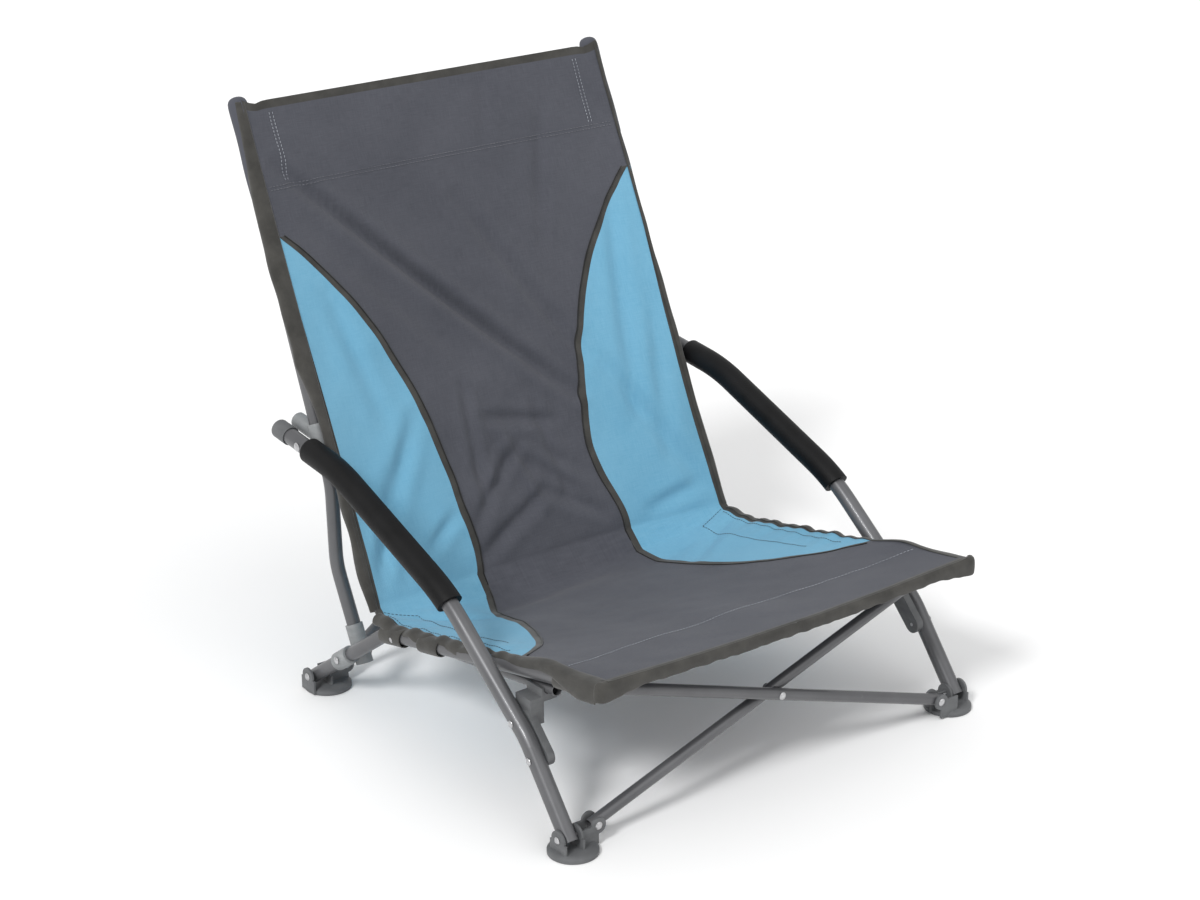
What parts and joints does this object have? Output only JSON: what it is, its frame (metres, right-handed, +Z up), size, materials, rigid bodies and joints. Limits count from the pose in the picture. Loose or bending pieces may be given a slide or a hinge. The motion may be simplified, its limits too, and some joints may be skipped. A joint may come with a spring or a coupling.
{
  "type": "folding sling chair",
  "caption": "Low folding sling chair: bent steel tube frame crossed in front and behind, foam arm grips, round plastic feet, fabric seat and back in one sling.",
  "frame": {"origin": "centre of the chair's outer box, on the ground", "axes": "+Z up, the sitter faces -Y, +X to the sitter's left"},
  "size_m": [0.584, 0.6882, 0.6523],
  "materials": {
    "tube": "satin powder coat",
    "plastic": "moulded, fine texture",
    "light_plastic": "moulded, fine texture",
    "foam": "closed-cell foam",
    "steel": "domed rivet",
    "cloth": "plain weave polyester"
  },
  "bodies": {
    "front_foot_right": {"front_foot_right": "plastic", "front_foot_rivets_right": "steel"},
    "front_cross_right": {"front_cross_tube_right": "tube", "front_cross_rivet": "steel", "front_cross_washer": "steel"},
    "front_cross_left": {"front_cross_tube_left": "tube"},
    "front_foot_left": {"front_foot_left": "plastic", "front_foot_rivets_left": "steel"},
    "knuckle_right": {"rail_knuckle_right": "plastic", "rail_knuckle_pins_right": "steel"},
    "rail_right": {"seat_rail_right": "tube", "rail_front_cap_right": "light_plastic", "seat_brace_right": "tube", "brace_spacer_right": "plastic", "brace_rivet_right": "steel", "upright_collar_right": "light_plastic", "upright_pivot_pin_right": "steel", "sling_seat": "cloth"},
    "rear_foot_right": {"rear_foot_right": "plastic", "rear_foot_rivets_right": "steel"},
    "rear_cross_right": {"rear_cross_tube_right": "tube", "rear_cross_plug_right": "plastic", "rear_cross_rivet_right": "steel", "rear_cross_washer": "steel"},
    "upright_right": {"back_upright_right": "tube", "upright_end_fitting_right": "light_plastic", "upright_top_cap_right": "light_plastic", "sling_back": "cloth"},
    "slider_right": {"upright_slider_right": "light_plastic"},
    "leg_right": {"leg_arm_tube_right": "tube", "arm_grip_right": "foam", "arm_end_cap_right": "plastic", "arm_pivot_pin_right": "steel", "leg_cradle_right": "plastic", "leg_cradle_rivets_right": "steel"},
    "knuckle_left": {"rail_knuckle_left": "plastic", "rail_knuckle_pins_left": "steel"},
    "rail_left": {"seat_rail_left": "tube", "rail_front_cap_left": "light_plastic", "seat_brace_left": "tube", "brace_spacer_left": "plastic", "brace_rivet_left": "steel", "upright_collar_left": "light_plastic", "upright_pivot_pin_left": "steel"},
    "rear_foot_left": {"rear_foot_left": "plastic", "rear_foot_rivets_left": "steel"},
    "rear_cross_left": {"rear_cross_tube_left": "tube", "rear_cross_plug_left": "plastic", "rear_cross_rivet_left": "steel"},
    "upright_left": {"back_upright_left": "tube", "upright_end_fitting_left": "light_plastic", "upright_top_cap_left": "light_plastic"},
    "slider_left": {"upright_slider_left": "light_plastic"},
    "leg_left": {"leg_arm_tube_left": "tube", "arm_grip_left": "foam", "arm_end_cap_left": "plastic", "arm_pivot_pin_left": "steel", "leg_cradle_left": "plastic", "leg_cradle_rivets_left": "steel"}
  },
  "joints": [
    {"name": "fold", "type": "hinge", "parent": "front_foot_right", "child": "front_cross_right", "pos_m": [-0.236, -0.30303, 0.022], "axis": [0, -1, 0], "range_deg": [0, 60], "deforming": ["sling_seat", "sling_back"]},
    {"name": "front_scissor", "type": "hinge", "parent": "front_cross_right", "child": "front_cross_left", "pos_m": [0, -0.31723, 0.10138], "axis": [0, 1, 0], "range_deg": [0, 120.05]},
    {"name": "front_foot_left_pivot", "type": "hinge", "parent": "front_cross_left", "child": "front_foot_left", "pos_m": [0.236, -0.31723, 0.022], "axis": [0, -1, 0], "range_deg": [0, 60.05]},
    {"name": "knuckle_left_pivot", "type": "hinge", "parent": "front_cross_right", "child": "knuckle_left", "pos_m": [0.2278, -0.30303, 0.178], "axis": [0, 1, 0], "range_deg": [0, 60.05]},
    {"name": "knuckle_right_pivot", "type": "hinge", "parent": "front_cross_left", "child": "knuckle_right", "pos_m": [-0.2278, -0.31723, 0.178], "axis": [0, -1, 0], "range_deg": [0, 60.05]},
    {"name": "rail_pivot_right", "type": "hinge", "parent": "knuckle_right", "child": "rail_right", "pos_m": [-0.2476, -0.31013, 0.184], "axis": [-1, 0, 0], "range_deg": [0, 58.49]},
    {"name": "rear_foot_pivot_right", "type": "hinge", "parent": "rail_right", "child": "rear_foot_right", "pos_m": [-0.276, 0.16487, 0.019], "axis": [1, 0, 0], "range_deg": [0, 50.51]},
    {"name": "rear_cross_pivot_right", "type": "hinge", "parent": "rear_foot_right", "child": "rear_cross_right", "pos_m": [-0.236, 0.17289, 0.01794], "axis": [0, -0.9888, 0.1495], "range_deg": [0, 48.41]},
    {"name": "upright_pivot_right", "type": "hinge", "parent": "rail_right", "child": "upright_right", "pos_m": [-0.24444, 0.11727, 0.055], "axis": [1, 0, 0], "range_deg": [0, 60.53]},
    {"name": "slider_travel_right", "type": "slide", "parent": "upright_right", "child": "slider_right", "axis": [0.0092, 0.4072, 0.9133], "range_m": [0, 0.2206]},
    {"name": "leg_pivot_right", "type": "hinge", "parent": "front_foot_right", "child": "leg_right", "pos_m": [-0.272, -0.30713, 0.019], "axis": [0.998, -0.0459, 0.0429], "range_deg": [0, 32.75]},
    {"name": "rail_pivot_left", "type": "hinge", "parent": "knuckle_left", "child": "rail_left", "pos_m": [0.2476, -0.31013, 0.184], "axis": [-1, 0, 0], "range_deg": [0, 58.49]},
    {"name": "rear_foot_pivot_left", "type": "hinge", "parent": "rail_left", "child": "rear_foot_left", "pos_m": [0.276, 0.16487, 0.019], "axis": [1, 0, 0], "range_deg": [0, 50.51]},
    {"name": "rear_cross_pivot_left", "type": "hinge", "parent": "rear_foot_left", "child": "rear_cross_left", "pos_m": [0.236, 0.15885, 0.02006], "axis": [0, 0.9888, -0.1495], "range_deg": [0, 48.41]},
    {"name": "upright_pivot_left", "type": "hinge", "parent": "rail_left", "child": "upright_left", "pos_m": [0.24444, 0.11727, 0.055], "axis": [1, 0, 0], "range_deg": [0, 60.53]},
    {"name": "slider_travel_left", "type": "slide", "parent": "upright_left", "child": "slider_left", "axis": [-0.0092, 0.4072, 0.9133], "range_m": [0, 0.2206]},
    {"name": "leg_pivot_left", "type": "hinge", "parent": "front_foot_left", "child": "leg_left", "pos_m": [0.272, -0.30713, 0.019], "axis": [0.998, 0.0459, -0.0429], "range_deg": [0, 32.75]}
  ],
  "couplings": [
    {"joint": "front_scissor", "follows": "fold", "ratio": 2},
    {"joint": "front_foot_left_pivot", "follows": "fold", "ratio": 1},
    {"joint": "knuckle_left_pivot", "follows": "fold", "ratio": 1},
    {"joint": "knuckle_right_pivot", "follows": "fold", "ratio": 1},
    {"joint": "rail_pivot_right", "follows": "fold", "ratio": 0.974},
    {"joint": "rear_foot_pivot_right", "follows": "fold", "ratio": 0.841},
    {"joint": "rear_cross_pivot_right", "follows": "fold", "ratio": 0.806},
    {"joint": "upright_pivot_right", "follows": "fold", "ratio": 1.008},
    {"joint": "slider_travel_right", "follows": "fold", "m_per_rad": 0.2105},
    {"joint": "leg_pivot_right", "follows": "fold", "ratio": 0.545},
    {"joint": "rail_pivot_left", "follows": "fold", "ratio": 0.974},
    {"joint": "rear_foot_pivot_left", "follows": "fold", "ratio": 0.841},
    {"joint": "rear_cross_pivot_left", "follows": "fold", "ratio": 0.806},
    {"joint": "upright_pivot_left", "follows": "fold", "ratio": 1.008},
    {"joint": "slider_travel_left", "follows": "fold", "m_per_rad": 0.2105},
    {"joint": "leg_pivot_left", "follows": "fold", "ratio": 0.545}
  ]
}
